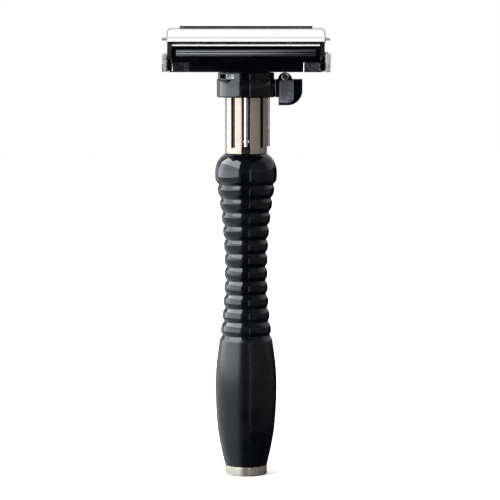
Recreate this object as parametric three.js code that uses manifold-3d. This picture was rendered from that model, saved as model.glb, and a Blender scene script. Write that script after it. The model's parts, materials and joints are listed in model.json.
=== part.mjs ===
// A double-edge safety razor whose head opens with two doors. Millimetres, +Z up the handle.
// The origin is the centre of the foot's flat underside, +X points to the thumb tab and -Y is
// the front. Turning the collar by its tab lifts the slider, and the slider swings both doors.
import * as THREE from "three";
import { mergeVertices } from "three/addons/utils/BufferGeometryUtils.js";
import Module from "manifold-3d";

const wasm = await Module();
wasm.setup();

// ---- driving dimensions ----

// grip: a smooth lower swell, eleven ribs around a waist, and a ball under the neck
const FOOT_TOP = 2.45;
const FOOT_RADIUS = 5.45;
const FOOT_ROUND = 0.4;
const LOWER_SWELL = [[5.5, 2.45], [6.65, 7.6], [7.5, 13.2], [7.96, 22], [7.72, 28.4], [6.86, 35.2]];
const LOWER_STEPS = 12;
const RIBS = 11;
const RIB_START = 36.5;
const RIB_PITCH = 3.555;
const RIB_DEPTH = 0.58;
const RIB_FLAT_FROM = 0.29;
const RIB_FLAT_TO = 0.71;
const WAIST_Z = 53.4;
const WAIST_RADIUS = 5.54;
const WAIST_CURVE = 0.0041;
const BALL_CENTRE = 78.3;
const BALL_RADIUS = 7.98;
const BALL_HEIGHT = 6.5;
const BALL_POWER = 2.35;
const BALL_STEPS = 7;
const BALL_SHOULDER = 76.5;
const GRIP_TOP = 83.7;
const CORE_RADIUS = 2.9;
const FIT = 0.3;
const SKIN = 0.03;

// neck: a slotted tube on a plain ring
const RING_TOP = 85.2;
const NECK_RADIUS = 5.42;
const NECK_BORE = 4.0;
const NECK_FLOOR = 86.2;
const SPIGOT_RADIUS = 4.3;
const SPIGOT_BOTTOM = 78.3;
const SLOT_TOP = 104.4;
const FLARE_RADIUS = 6.2;
const FLARE_TOP = 105.9;
const KEY_SLOT = 2.06;
const FIN_SLOT = 1.5;
const GROOVE_WIDTH = 1.1;
const GROOVE_DEPTH = 0.45;
const GROOVE_ANGLES = [-38, 49];
const NOTCH_WIDTH = 2.3;

// slider: what runs inside the neck
const SLIDER_RADIUS = 3.7;
const SLIDER_BOTTOM = 87;
const SLIDER_TOP = 100.5;
const KEY_WIDTH = 1.03;
const KEY_OUT = 5.55;
const FIN_OUT = 6.14;
const FIN_BOTTOM = 85.45;
const FIN_TOP = 100;
const LIFT_ROD_RADIUS = 1.6;

// collar with its thumb tab
const COLLAR_BOTTOM = 98.1;
const COLLAR_STEP = 102.75;
const COLLAR_TOP = 104.4;
const COLLAR_RADIUS = 7.52;
const COLLAR_UPPER_RADIUS = 7.25;
const COLLAR_BORE = 6.4;
const COLLAR_ROUND = 0.35;
const WINDOW_ANGLE = -135;
const WINDOW_WIDTH = 5;
const WINDOW_SILL = 0.15;
const WINDOW_LINTEL = 0.25;
const SLEEVE_RADIUS = 6.2;
const SLEEVE_BORE = 5.65;
const SLEEVE_BOTTOM = 98.6;
const SLEEVE_TOP = 104.1;
const SLEEVE_GAP_FROM = -100;
const SLEEVE_GAP_TO = 10;
const TAB_LEFT = 8.4;
const TAB_RIGHT = 14.5;
const TAB_BOTTOM = 96;
const TAB_CORNER = 3.8;
const TAB_THICKNESS = 1.3;
const ARM_THICKNESS = 3;
const BOSS_X = 10.05;
const BOSS_Z = 102.6;
const BOSS_RADIUS = 1.85;
const BOSS_LENGTH = 3.4;
const BOSS_FOOT = 102.5;
const RIVET_Z = 103.35;
const RIVET_RADIUS = 0.9;
const PAD_LEFT = 8.55;
const PAD_RIGHT = 12.3;
const PAD_TOP = 102.45;
const PAD_CORNER = 2.85;
const PAD_BOTTOM = 96.7;
const PAD_PROUD = 0.8;

// head
const BASE_BOTTOM = 104.7;
const BASE_HALF = 18.7;
const BASE_FLOOR = 105.5;
const LOWER_WALL = 9.6;
const LOWER_WALL_TOP = 107.3;
const STEP_OUT = 10.4;
const STEP_TOP = 107.5;
const LEDGE_FRONT = 11.4;
const GUARD_LEDGE = 108.8;
const GUARD_WALL_TOP = 110.9;
const GUARD_BACK = 10;
const GUARD_FRONT = 12.2;
const GUARD_TOP = 110.4;
const GUARD_HALF = 17.6;
const GUARD_ROUND = 0.45;
const BLADE_CROWN = 113.3;
const BLADE_BEND = 36.4;
const BLADE_HALF_DEPTH = 11;
const BLADE_THICKNESS = 0.1;
const BLADE_EDGE_HALF = 18.7;
const BLADE_TAB_HALF = 21.5;
const BLADE_TAB_DEPTH = 6.4;
const BLADE_SLOT_HALF = 17;
const BLADE_SLOT_WIDTH = 2;
const BED_GAP = 0.35;
const BED_HALF_DEPTH = 9.3;
const BED_STEPS = 10;
const BLADE_STEPS = 14;
const CHANNEL_WIDTH = 6.4;
const END_POCKET = 16.6;
const END_POCKET_WIDTH = 17.1;
const RAIL_BOTTOM = 112.05;
const RAIL_TOP = 112.85;
const RAIL_HALF = 16.4;
const RAIL_WIDTH = 5.6;
const LUG_TOP = 114.1;
const LUG_LENGTH = 6;
const LUG_WIDTH = 1.3;
const LUG_SPACING = 12;

// doors, their pivots and the lift bar that swings them
const PIVOT_Y = 10.7;
const PIVOT_Z = 108.3;
const DOOR_HALF = 20.2;
const DOOR_TOP = 115.85;
const DOOR_BEND = 17.6;
const DOOR_LIP = 10.4;
const DOOR_SEAM = 0.15;
const DOOR_STEPS = 10;
const DOOR_INSIDE = [[10.4, 3.75], [8.5, 3.1], [6, 2.1], [3, 1.25], [0.15, 0.95]];
const DOOR_END_ROUND = 1.1;
const RIDGE_HALF = 17.05;
const RIDGE_TOP = 116.35;
const RIDGE_WIDTH = 0.6;
const ARM_INNER_X = 18.95;
const ARM_PLATE = 1;
const ARM_RISER = [[11.7, 108.3], [9.7, 108.3], [8.2, 112.45], [10.3, 111.95]];
const HUB_RADIUS = 1.05;
const HINGE_PIN_FROM = 18.9;
const HINGE_PIN_TO = 21.5;
const PIN_RADIUS = 0.6;
const PIN_HOLE = 0.85;
const LIFT_PIN_RADIUS = 0.4;
const LIFT_PIN_Y = 7.8;
const LIFT_PIN_Z = 106.3;
const LIFT_PIN_END = 19.85;
const FORK_REACH = 4;
const FORK_HALF_WIDTH = 1.05;
const FORK_SLOT_HALF = 0.6;
const FORK_SLOT_START = 2.4;
const LIFT_BAR_BOTTOM = 106.9;
const LIFT_BAR_TOP = 107.9;
const LIFT_BAR_WIDTH = 4.8;
const CROSS_INNER = 17;
const CROSS_OUTER = 18.4;
const CROSS_HALF_DEPTH = 8.3;
const CROSS_BOTTOM = 105.85;

// end brackets
const BRACKET_INNER = 20.2;
const BRACKET_OUTER = 21.4;
const BRACKET_REACH = 14.6;
const BRACKET_FLOOR = 105.05;
const FLANGE_INNER = 9.1;
const FLANGE_OUTER = 9.7;
const FLANGE_TOP = 107.2;
const HOOK_REACH = 11.95;
const HOOK_BOTTOM = 106.9;
const HOOK_TOP = 109.5;
const HOOK_INNER = 9.4;
const HOOK_ROOT = 8.1;

const ROUND_STEPS = 32;
const SMALL_STEPS = 16;
const PIN_STEPS = 12;
const CORNER_STEPS = 6;
const SPARE = 1;
const WELD = 1e-4;

// ---- materials ----

function finish(color, roughness, metalness) {
  return () => new THREE.MeshStandardMaterial({ color, roughness, metalness });
}

const blackGloss = finish(0x111217, 0.12, 0);
const blackPlastic = finish(0x0c0d10, 0.3, 0);
const greySatin = finish(0x4a4c50, 0.45, 0.2);
const chrome = finish(0xe6e8ec, 0.06, 1);
const nickel = finish(0xcfc3b4, 0.18, 1);
const satinNickel = finish(0xbfb29f, 0.35, 1);
const steel = finish(0x9a9ca0, 0.35, 1);
const darkSteel = finish(0x2b2c2f, 0.4, 0.9);
const bladeSteel = finish(0xd8dadd, 0.15, 1);

// ---- helpers ----

const razor = new THREE.Group();
const degrees = THREE.MathUtils.degToRad;
const X_AXIS = new THREE.Vector3(1, 0, 0);
const Y_AXIS = new THREE.Vector3(0, 1, 0);
const Z_AXIS = new THREE.Vector3(0, 0, 1);
const FRONT = -90;
const REAR = 90;
const RIGHT = 0;

/** A closed geometry as a solid that can be joined and cut. */
function solid(geometry) {
  const bare = geometry.clone();
  bare.deleteAttribute("normal");
  bare.deleteAttribute("uv");
  const merged = mergeVertices(bare, WELD);
  const corners = merged.index.array;
  const triangles = [];
  for (let i = 0; i < corners.length; i += 3) {
    const [a, b, c] = corners.slice(i, i + 3);
    if (a !== b && b !== c && c !== a) triangles.push(a, b, c);
  }
  const mesh = { numProp: 3, vertProperties: merged.attributes.position.array };
  return new wasm.Manifold(new wasm.Mesh({ ...mesh, triVerts: Uint32Array.from(triangles) }));
}

/** A solid back as a geometry. */
function surface(body) {
  const mesh = body.getMesh();
  const geometry = new THREE.BufferGeometry();
  geometry.setAttribute("position", new THREE.BufferAttribute(mesh.vertProperties, 3));
  geometry.setIndex(new THREE.BufferAttribute(mesh.triVerts, 1));
  geometry.computeVertexNormals();
  return geometry;
}

/** Adds a named piece, turned about Z by half turns and then moved. */
function place(name, geometry, material, { x = 0, y = 0, z = 0, turn = 0 } = {}) {
  const mesh = new THREE.Mesh(geometry, material());
  mesh.name = name;
  mesh.position.set(x, y, z);
  mesh.rotation.z = turn;
  razor.add(mesh);
}

/** A body of revolution about Z. The outline is [radius, height] points, upward on the outside. */
function turned(outline, steps = ROUND_STEPS) {
  const points = outline.map(([radius, height]) => new THREE.Vector2(radius, height));
  return new THREE.LatheGeometry(points, steps).rotateX(Math.PI / 2);
}

/** The two ends of a stretch on one side of the middle plane, the lower one first. */
function span(side, inner, outer) {
  return side < 0 ? [-outer, -inner] : [inner, outer];
}

/** A box between two corners. */
function block(low, high) {
  const size = high.map((value, axis) => value - low[axis]);
  const middle = high.map((value, axis) => (value + low[axis]) / 2);
  return new THREE.BoxGeometry(...size).translate(...middle);
}

function cylinderAlongX(radius, from, to, y, z, steps = SMALL_STEPS) {
  const geometry = new THREE.CylinderGeometry(radius, radius, to - from, steps);
  return geometry.rotateZ(Math.PI / 2).translate((from + to) / 2, y, z);
}

function outlineShape(points) {
  return new THREE.Shape(points.map(([a, b]) => new THREE.Vector2(a, b)));
}

/** A [y, z] shape drawn out along X. */
function alongX(shape, from, to, curveSegments = SMALL_STEPS) {
  const flat = new THREE.ExtrudeGeometry(shape, { depth: to - from, bevelEnabled: false, curveSegments });
  return flat.applyMatrix4(new THREE.Matrix4().makeBasis(Y_AXIS, Z_AXIS, X_AXIS)).translate(from, 0, 0);
}

/** An [x, z] shape drawn out along Y, centred on the given y. */
function alongY(shape, thickness, y = 0, curveSegments = CORNER_STEPS) {
  const flat = new THREE.ExtrudeGeometry(shape, { depth: thickness, bevelEnabled: false, curveSegments });
  const turn = new THREE.Matrix4().makeBasis(X_AXIS, Z_AXIS, Y_AXIS.clone().negate());
  return flat.applyMatrix4(turn).translate(0, y + thickness / 2, 0);
}

/** A [y, z] polygon whose top and bottom follow arcs, from one y to another. */
function bentStrip(fromY, toY, topAt, bottomAt, steps) {
  const top = [];
  const bottom = [];
  for (let i = 0; i <= steps; i += 1) {
    const y = fromY + ((toY - fromY) * i) / steps;
    bottom.push([y, bottomAt(y)]);
    top.unshift([y, topAt(y)]);
  }
  return outlineShape([...bottom, ...top]);
}

/** A box standing on a radius at an angle about Z, in degrees from +X. */
function radialBlock(angle, inner, outer, width, bottom, top) {
  const box = block([inner, -width / 2, bottom], [outer, width / 2, top]);
  return box.rotateZ(degrees(angle));
}

// ---- handle ----

function waistRadius(z) {
  return WAIST_RADIUS + WAIST_CURVE * (z - WAIST_Z) ** 2;
}

function ribOutline() {
  const points = [];
  for (let rib = 0; rib < RIBS; rib += 1) {
    const groove = RIB_START + rib * RIB_PITCH;
    const from = groove + RIB_FLAT_FROM * RIB_PITCH;
    const to = groove + RIB_FLAT_TO * RIB_PITCH;
    points.push([waistRadius(groove) - RIB_DEPTH, groove], [waistRadius(from), from], [waistRadius(to), to]);
  }
  const last = RIB_START + RIBS * RIB_PITCH;
  points.push([waistRadius(last) - RIB_DEPTH, last]);
  return points;
}

function ballRadius(z) {
  const share = Math.abs(z - BALL_CENTRE) / BALL_HEIGHT;
  return BALL_RADIUS * (1 - share ** BALL_POWER) ** (1 / BALL_POWER);
}

function ballOutline() {
  const points = [];
  for (let i = 0; i <= BALL_STEPS; i += 1) {
    const z = BALL_SHOULDER + (GRIP_TOP - BALL_SHOULDER) * Math.sin((i / BALL_STEPS) * (Math.PI / 2));
    points.push([ballRadius(z), z]);
  }
  return points;
}

function makeGrip() {
  const swell = new THREE.SplineCurve(LOWER_SWELL.map(([r, z]) => new THREE.Vector2(r, z)));
  const lower = swell.getPoints(LOWER_STEPS).map((point) => [point.x, point.y]);
  const outside = [...lower, ...ribOutline(), ...ballOutline()];
  const bore = CORE_RADIUS + FIT;
  const counterbore = SPIGOT_RADIUS + FIT;
  const inside = [
    [counterbore, GRIP_TOP],
    [counterbore, SPIGOT_BOTTOM],
    [bore, SPIGOT_BOTTOM],
    [bore, FOOT_TOP],
    lower[0],
  ];
  place("handle_grip", turned([...outside, ...inside]), blackGloss);
}

function makeFootAndCore() {
  const foot = [
    [0, 0],
    [FOOT_RADIUS - FOOT_ROUND, 0],
    [FOOT_RADIUS, FOOT_ROUND],
    [FOOT_RADIUS, FOOT_TOP],
    [0, FOOT_TOP],
  ];
  place("foot_cap", turned(foot), satinNickel);
  const core = [[0, FOOT_TOP], [CORE_RADIUS, FOOT_TOP], [CORE_RADIUS, SPIGOT_BOTTOM], [0, SPIGOT_BOTTOM]];
  place("core_rod", turned(core, SMALL_STEPS), steel);
}

// ---- neck ----

function makeNeckRing() {
  const bore = SPIGOT_RADIUS + FIT;
  const ring = [
    [bore, GRIP_TOP],
    [NECK_RADIUS, GRIP_TOP],
    [NECK_RADIUS, RING_TOP],
    [bore, RING_TOP],
    [bore, GRIP_TOP],
  ];
  let body = solid(turned(ring));
  const inner = NECK_RADIUS - GROOVE_DEPTH;
  for (const angle of [FRONT, REAR]) {
    const notch = radialBlock(angle, inner, COLLAR_RADIUS, NOTCH_WIDTH, GRIP_TOP - SPARE, RING_TOP + SPARE);
    body = body.subtract(solid(notch));
  }
  place("neck_ring", surface(body), nickel);
}

function makeNeckTube() {
  const tube = [
    [0, SPIGOT_BOTTOM],
    [SPIGOT_RADIUS, SPIGOT_BOTTOM],
    [SPIGOT_RADIUS, RING_TOP],
    [NECK_RADIUS, RING_TOP],
    [NECK_RADIUS, BASE_FLOOR],
    [FLARE_RADIUS, BASE_FLOOR],
    [FLARE_RADIUS, FLARE_TOP],
    [NECK_BORE, FLARE_TOP],
    [NECK_BORE, NECK_FLOOR],
    [0, NECK_FLOOR],
  ];
  let body = solid(turned(tube));
  const cut = (angle, inner, width) => {
    const slot = radialBlock(angle, inner, COLLAR_RADIUS, width, RING_TOP, SLOT_TOP);
    body = body.subtract(solid(slot));
  };
  cut(RIGHT, SLIDER_RADIUS, FIN_SLOT);
  for (const side of [FRONT, REAR]) {
    cut(side, SLIDER_RADIUS, KEY_SLOT);
    for (const angle of GROOVE_ANGLES) {
      cut(side - Math.sign(side) * angle, NECK_RADIUS - GROOVE_DEPTH, GROOVE_WIDTH);
    }
  }
  place("neck_tube", surface(body), nickel);
}

// ---- slider ----

function makeSlider() {
  const core = [
    [0, SLIDER_BOTTOM],
    [SLIDER_RADIUS, SLIDER_BOTTOM],
    [SLIDER_RADIUS, SLIDER_TOP],
    [LIFT_ROD_RADIUS, SLIDER_TOP],
    [LIFT_ROD_RADIUS, LIFT_BAR_BOTTOM],
    [0, LIFT_BAR_BOTTOM],
  ];
  place("slider_core", turned(core, SMALL_STEPS), steel);
  const key = (angle, outer) => {
    return radialBlock(angle, SLIDER_RADIUS + SKIN, outer, KEY_WIDTH, FIN_BOTTOM, FIN_TOP);
  };
  place("front_key", key(FRONT, KEY_OUT), nickel);
  place("rear_key", key(REAR, KEY_OUT), nickel);
  place("side_fin", key(RIGHT, FIN_OUT), nickel);
}

function makeLiftBar() {
  const half = LIFT_BAR_WIDTH / 2;
  let bar = solid(block([-CROSS_OUTER, -half, LIFT_BAR_BOTTOM], [CROSS_OUTER, half, LIFT_BAR_TOP]));
  for (const side of [-1, 1]) {
    const [near, far] = span(side, CROSS_INNER, CROSS_OUTER);
    const low = [near, -CROSS_HALF_DEPTH, CROSS_BOTTOM];
    bar = bar.add(solid(block(low, [far, CROSS_HALF_DEPTH, LIFT_BAR_TOP])));
  }
  place("lift_bar", surface(bar), steel);
  const pin = (from, to) => cylinderAlongX(LIFT_PIN_RADIUS, from, to, 0, 0, PIN_STEPS);
  for (const [depth, y] of [["front", -LIFT_PIN_Y], ["rear", LIFT_PIN_Y]]) {
    place(`${depth}_left_lift_pin`, pin(-LIFT_PIN_END, -CROSS_OUTER), steel, { y, z: LIFT_PIN_Z });
    place(`${depth}_right_lift_pin`, pin(CROSS_OUTER, LIFT_PIN_END), steel, { y, z: LIFT_PIN_Z });
  }
}

// ---- collar ----

function makeCollar() {
  const outline = [
    [COLLAR_BORE, COLLAR_BOTTOM],
    [COLLAR_RADIUS - COLLAR_ROUND, COLLAR_BOTTOM],
    [COLLAR_RADIUS, COLLAR_BOTTOM + COLLAR_ROUND],
    [COLLAR_RADIUS, COLLAR_STEP],
    [COLLAR_UPPER_RADIUS, COLLAR_STEP],
    [COLLAR_UPPER_RADIUS, COLLAR_TOP],
    [COLLAR_BORE, COLLAR_TOP],
    [COLLAR_BORE, COLLAR_BOTTOM],
  ];
  const sill = COLLAR_STEP + WINDOW_SILL;
  const lintel = COLLAR_TOP - WINDOW_LINTEL;
  const window = radialBlock(WINDOW_ANGLE, SLIDER_RADIUS, TAB_RIGHT, WINDOW_WIDTH, sill, lintel);
  const body = solid(turned(outline)).subtract(solid(window));
  place("control_collar", surface(body), blackGloss);
}

function makeCamSleeve() {
  const outline = [
    [SLEEVE_BORE, SLEEVE_BOTTOM],
    [SLEEVE_RADIUS, SLEEVE_BOTTOM],
    [SLEEVE_RADIUS, SLEEVE_TOP],
    [SLEEVE_BORE, SLEEVE_TOP],
    [SLEEVE_BORE, SLEEVE_BOTTOM],
  ];
  // the fin's path through the collar stays open
  const gap = new THREE.Shape();
  gap.absarc(0, 0, SLIDER_RADIUS, degrees(SLEEVE_GAP_TO), degrees(SLEEVE_GAP_FROM), true);
  gap.absarc(0, 0, COLLAR_RADIUS, degrees(SLEEVE_GAP_FROM), degrees(SLEEVE_GAP_TO), false);
  const depth = SLEEVE_TOP - SLEEVE_BOTTOM + 2 * SPARE;
  const wedge = new THREE.ExtrudeGeometry(gap, { depth, bevelEnabled: false });
  const body = solid(turned(outline)).subtract(solid(wedge.translate(0, 0, SLEEVE_BOTTOM - SPARE)));
  place("cam_sleeve", surface(body), steel);
}

function tabOutline(left, right, bottom, top, corner) {
  const shape = new THREE.Shape();
  shape.moveTo(left, bottom);
  shape.lineTo(right - corner, bottom);
  shape.absarc(right - corner, bottom + corner, corner, -Math.PI / 2, 0, false);
  shape.lineTo(right, top);
  shape.lineTo(left, top);
  return shape;
}

function makeThumbTab() {
  const flange = alongY(tabOutline(TAB_LEFT, TAB_RIGHT, TAB_BOTTOM, COLLAR_STEP, TAB_CORNER), TAB_THICKNESS);
  const boss = new THREE.CylinderGeometry(BOSS_RADIUS, BOSS_RADIUS, BOSS_LENGTH, SMALL_STEPS);
  const half = ARM_THICKNESS / 2;
  const arm = block([COLLAR_RADIUS + SKIN, -half, COLLAR_BOTTOM], [PAD_LEFT - SKIN, half, COLLAR_STEP]);
  const hole = new THREE.CylinderGeometry(RIVET_RADIUS, RIVET_RADIUS, BOSS_LENGTH * 2, SMALL_STEPS);
  const below = block([TAB_LEFT - SPARE, -SPARE - half, PAD_BOTTOM], [PAD_RIGHT, SPARE + half, BOSS_FOOT]);
  const body = solid(boss.translate(BOSS_X, 0, BOSS_Z))
    .subtract(solid(below))
    .add(solid(flange))
    .add(solid(arm))
    .subtract(solid(hole.translate(BOSS_X, 0, RIVET_Z)));
  place("thumb_tab", surface(body), blackGloss);
  const shaft = RIVET_RADIUS - FIT / 2;
  const rivet = new THREE.CylinderGeometry(shaft, shaft, BOSS_LENGTH + FIT, SMALL_STEPS);
  place("tab_rivet", rivet, steel, { x: BOSS_X, z: RIVET_Z });
}

function makeTabPads() {
  const shape = tabOutline(PAD_LEFT, PAD_RIGHT, PAD_BOTTOM, PAD_TOP, PAD_CORNER);
  const offset = (TAB_THICKNESS + PAD_PROUD) / 2;
  place("front_tab_pad", alongY(shape, PAD_PROUD, -offset), greySatin);
  place("rear_tab_pad", alongY(shape, PAD_PROUD, offset), greySatin);
}

// ---- head base ----

function bladeHeight(y) {
  return BLADE_CROWN - y ** 2 / (2 * BLADE_BEND);
}

function baseOutline() {
  const bed = [];
  for (let i = 0; i <= BED_STEPS; i += 1) {
    const y = BED_HALF_DEPTH * (1 - (2 * i) / BED_STEPS);
    bed.push([y, bladeHeight(y) - BED_GAP]);
  }
  const side = [
    [LOWER_WALL, BASE_BOTTOM],
    [LOWER_WALL, LOWER_WALL_TOP],
    [STEP_OUT, STEP_TOP],
    [LEDGE_FRONT, GUARD_LEDGE],
    [GUARD_BACK, GUARD_LEDGE],
    [GUARD_BACK, GUARD_WALL_TOP],
  ];
  const mirrored = side.map(([y, z]) => [-y, z]).reverse();
  return outlineShape([...side, ...bed, ...mirrored]);
}

/** A cutting cylinder on the Z axis. */
function boring(radius, bottom, top) {
  return turned([[0, bottom], [radius, bottom], [radius, top], [0, top]]);
}

function makeHeadBase() {
  const half = CHANNEL_WIDTH / 2;
  const pocket = END_POCKET_WIDTH / 2;
  const past = BASE_HALF + SPARE;
  const under = BASE_BOTTOM - SPARE;
  let body = solid(alongX(baseOutline(), -BASE_HALF, BASE_HALF));
  const cut = (geometry) => {
    body = body.subtract(solid(geometry));
  };
  cut(block([-END_POCKET - SPARE, -half, BASE_FLOOR], [END_POCKET + SPARE, half, DOOR_TOP]));
  cut(boring(NECK_RADIUS + FIT, under, BASE_FLOOR + SPARE));
  cut(boring(FLARE_RADIUS + FIT, BASE_FLOOR, BASE_FLOOR + SPARE));
  for (const side of [-1, 1]) {
    const [pocketFrom, pocketTo] = span(side, END_POCKET, past);
    cut(block([pocketFrom, -pocket, under], [pocketTo, pocket, DOOR_TOP]));
    const [from, to] = span(side, BRACKET_REACH - FIT / 2, past);
    cut(block([from, -GUARD_FRONT, under], [to, GUARD_FRONT, BRACKET_FLOOR + FIT / 2]));
    for (const depth of [-1, 1]) {
      const [near, far] = span(depth, FLANGE_INNER - FIT / 2, GUARD_FRONT);
      cut(block([from, near, under], [to, far, FLANGE_TOP + FIT / 2]));
    }
  }
  place("head_base", surface(body), blackPlastic);
}

function makeGuardBars() {
  const shape = new THREE.Shape();
  shape.moveTo(-GUARD_BACK, GUARD_LEDGE);
  shape.lineTo(-GUARD_BACK, GUARD_TOP);
  const arcY = GUARD_ROUND - GUARD_FRONT;
  shape.lineTo(arcY, GUARD_TOP);
  shape.absarc(arcY, GUARD_TOP - GUARD_ROUND, GUARD_ROUND, Math.PI / 2, Math.PI, false);
  shape.absarc(arcY, GUARD_LEDGE + GUARD_ROUND, GUARD_ROUND, Math.PI, 1.5 * Math.PI, false);
  const bar = alongX(shape, -GUARD_HALF, GUARD_HALF, CORNER_STEPS);
  place("front_guard_bar", bar, blackPlastic);
  place("rear_guard_bar", bar.clone(), blackPlastic, { turn: Math.PI });
}

function makeBladeRail() {
  const half = RAIL_WIDTH / 2;
  let body = solid(block([-RAIL_HALF, -half, RAIL_BOTTOM], [RAIL_HALF, half, RAIL_TOP]));
  for (const x of [-LUG_SPACING, 0, LUG_SPACING]) {
    const low = [x - LUG_LENGTH / 2, -LUG_WIDTH / 2, RAIL_TOP - FIT];
    body = body.add(solid(block(low, [x + LUG_LENGTH / 2, LUG_WIDTH / 2, LUG_TOP])));
  }
  place("blade_rail", surface(body), steel);
}

function makeBlade() {
  const top = (y) => bladeHeight(y) + BLADE_THICKNESS / 2;
  const bottom = (y) => bladeHeight(y) - BLADE_THICKNESS / 2;
  const strip = (halfDepth, halfLength) => {
    return solid(alongX(bentStrip(-halfDepth, halfDepth, top, bottom, BLADE_STEPS), -halfLength, halfLength));
  };
  const sheet = strip(BLADE_HALF_DEPTH, BLADE_EDGE_HALF).add(strip(BLADE_TAB_DEPTH, BLADE_TAB_HALF));
  const slot = block(
    [-BLADE_SLOT_HALF, -BLADE_SLOT_WIDTH / 2, RAIL_TOP],
    [BLADE_SLOT_HALF, BLADE_SLOT_WIDTH / 2, DOOR_TOP],
  );
  place("blade", surface(sheet.subtract(solid(slot))), bladeSteel);
}

// ---- end brackets and hinge pins ----

function makeBrackets() {
  const outline = [
    [-FLANGE_OUTER, BASE_BOTTOM],
    [FLANGE_OUTER, BASE_BOTTOM],
    [HOOK_REACH, HOOK_BOTTOM],
    [HOOK_REACH, HOOK_TOP],
    [HOOK_INNER, HOOK_TOP],
    [HOOK_ROOT, FLANGE_TOP],
  ];
  const mirrored = outline.slice(2).map(([y, z]) => [-y, z]).reverse();
  const side = solid(alongX(outlineShape([...outline, ...mirrored]), BRACKET_INNER, BRACKET_OUTER));
  const low = [BRACKET_REACH, -FLANGE_OUTER, BASE_BOTTOM];
  let body = side.add(solid(block(low, [BRACKET_OUTER, FLANGE_OUTER, BRACKET_FLOOR])));
  for (const depth of [-1, 1]) {
    const [near, far] = span(depth, FLANGE_INNER, FLANGE_OUTER);
    const hole = cylinderAlongX(PIN_HOLE, BASE_HALF, BLADE_TAB_HALF, depth * PIVOT_Y, PIVOT_Z);
    body = body.add(solid(block([BRACKET_REACH, near, BASE_BOTTOM], [BASE_HALF, far, FLANGE_TOP])));
    body = body.subtract(solid(hole));
  }
  const bracket = surface(body);
  place("right_end_bracket", bracket, steel);
  place("left_end_bracket", bracket.clone(), steel, { turn: Math.PI });
}

function makeHingePins() {
  const middle = (HINGE_PIN_FROM + HINGE_PIN_TO) / 2;
  const pin = cylinderAlongX(PIN_RADIUS, HINGE_PIN_FROM - middle, HINGE_PIN_TO - middle, 0, 0, PIN_STEPS);
  for (const [depth, y] of [["front", -PIVOT_Y], ["rear", PIVOT_Y]]) {
    place(`${depth}_left_hinge_pin`, pin.clone(), steel, { x: -middle, y, z: PIVOT_Z });
    place(`${depth}_right_hinge_pin`, pin.clone(), steel, { x: middle, y, z: PIVOT_Z });
  }
}

// ---- doors ----

function doorHeight(y) {
  return DOOR_TOP - DOOR_BEND + Math.sqrt(DOOR_BEND ** 2 - y ** 2);
}

function doorSection() {
  const outer = [];
  for (let i = 0; i <= DOOR_STEPS; i += 1) {
    const y = DOOR_SEAM + ((DOOR_LIP - DOOR_SEAM) * i) / DOOR_STEPS;
    outer.push([-y, doorHeight(y)]);
  }
  const inner = DOOR_INSIDE.map(([y, drop]) => [-y, DOOR_TOP - drop]);
  return outlineShape([...inner, ...outer]);
}

function makeDoors() {
  const round = DOOR_END_ROUND;
  const corner = DOOR_HALF - round;
  const ends = new THREE.Shape();
  ends.moveTo(-DOOR_HALF, LOWER_WALL_TOP);
  ends.lineTo(DOOR_HALF, LOWER_WALL_TOP);
  ends.absarc(corner, DOOR_TOP - round, round, 0, Math.PI / 2, false);
  ends.absarc(-corner, DOOR_TOP - round, round, Math.PI / 2, Math.PI, false);
  const shell = solid(alongX(doorSection(), -DOOR_HALF, DOOR_HALF));
  const rounded = shell.intersect(solid(alongY(ends, 4 * DOOR_LIP)));
  const ridge = block(
    [-RIDGE_HALF, -DOOR_SEAM - RIDGE_WIDTH, DOOR_TOP - FIT],
    [RIDGE_HALF, -DOOR_SEAM, RIDGE_TOP],
  );
  const door = surface(rounded.add(solid(ridge)));
  place("front_door", door, chrome);
  place("rear_door", door.clone(), chrome, { turn: Math.PI });
}

/** One door arm in the front's YZ plane: a hub on the pivot, a riser to the door and a fork. */
function doorArm() {
  const fromX = ARM_INNER_X;
  const toX = ARM_INNER_X + ARM_PLATE;
  const riser = outlineShape(ARM_RISER.map(([y, z]) => [-y, z]));
  const angle = Math.atan2(LIFT_PIN_Z - PIVOT_Z, PIVOT_Y - LIFT_PIN_Y);
  const bar = (from, to, half, spare = 0) => {
    const drawn = block([fromX - spare, from, -half], [toX + spare, to, half]);
    return solid(drawn.rotateX(angle).translate(0, -PIVOT_Y, PIVOT_Z));
  };
  const hub = solid(cylinderAlongX(HUB_RADIUS, fromX, toX, -PIVOT_Y, PIVOT_Z));
  const hole = solid(cylinderAlongX(PIN_HOLE, fromX - SPARE, toX + SPARE, -PIVOT_Y, PIVOT_Z));
  const body = hub
    .add(solid(alongX(riser, fromX, toX)))
    .add(bar(0, FORK_REACH, FORK_HALF_WIDTH))
    .subtract(bar(FORK_SLOT_START, FORK_REACH + SPARE, FORK_SLOT_HALF, SPARE))
    .subtract(hole);
  return surface(body);
}

function makeDoorArms() {
  const arm = doorArm();
  const across = -2 * ARM_INNER_X - ARM_PLATE;
  place("front_right_door_arm", arm, darkSteel);
  place("front_left_door_arm", arm.clone(), darkSteel, { x: across });
  place("rear_left_door_arm", arm.clone(), darkSteel, { turn: Math.PI });
  place("rear_right_door_arm", arm.clone(), darkSteel, { turn: Math.PI, x: -across });
}

makeGrip();
makeFootAndCore();
makeNeckRing();
makeNeckTube();
makeSlider();
makeLiftBar();
makeCollar();
makeCamSleeve();
makeThumbTab();
makeTabPads();
makeHeadBase();
makeGuardBars();
makeBladeRail();
makeBlade();
makeBrackets();
makeHingePins();
makeDoors();
makeDoorArms();

export default razor;
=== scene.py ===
"""Looks for a double-edge safety razor whose head opens with two doors.

Lengths are in millimetres until a mesh is made, and in metres in the mesh. +Z runs up the handle,
+X points to the thumb tab and -Y is the front. A turned or drawn shape is worked out as whole
arrays of points, and the small pressed and milled parts are the frame's own shapes with their
edges eased.
"""
import json
import math

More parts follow.
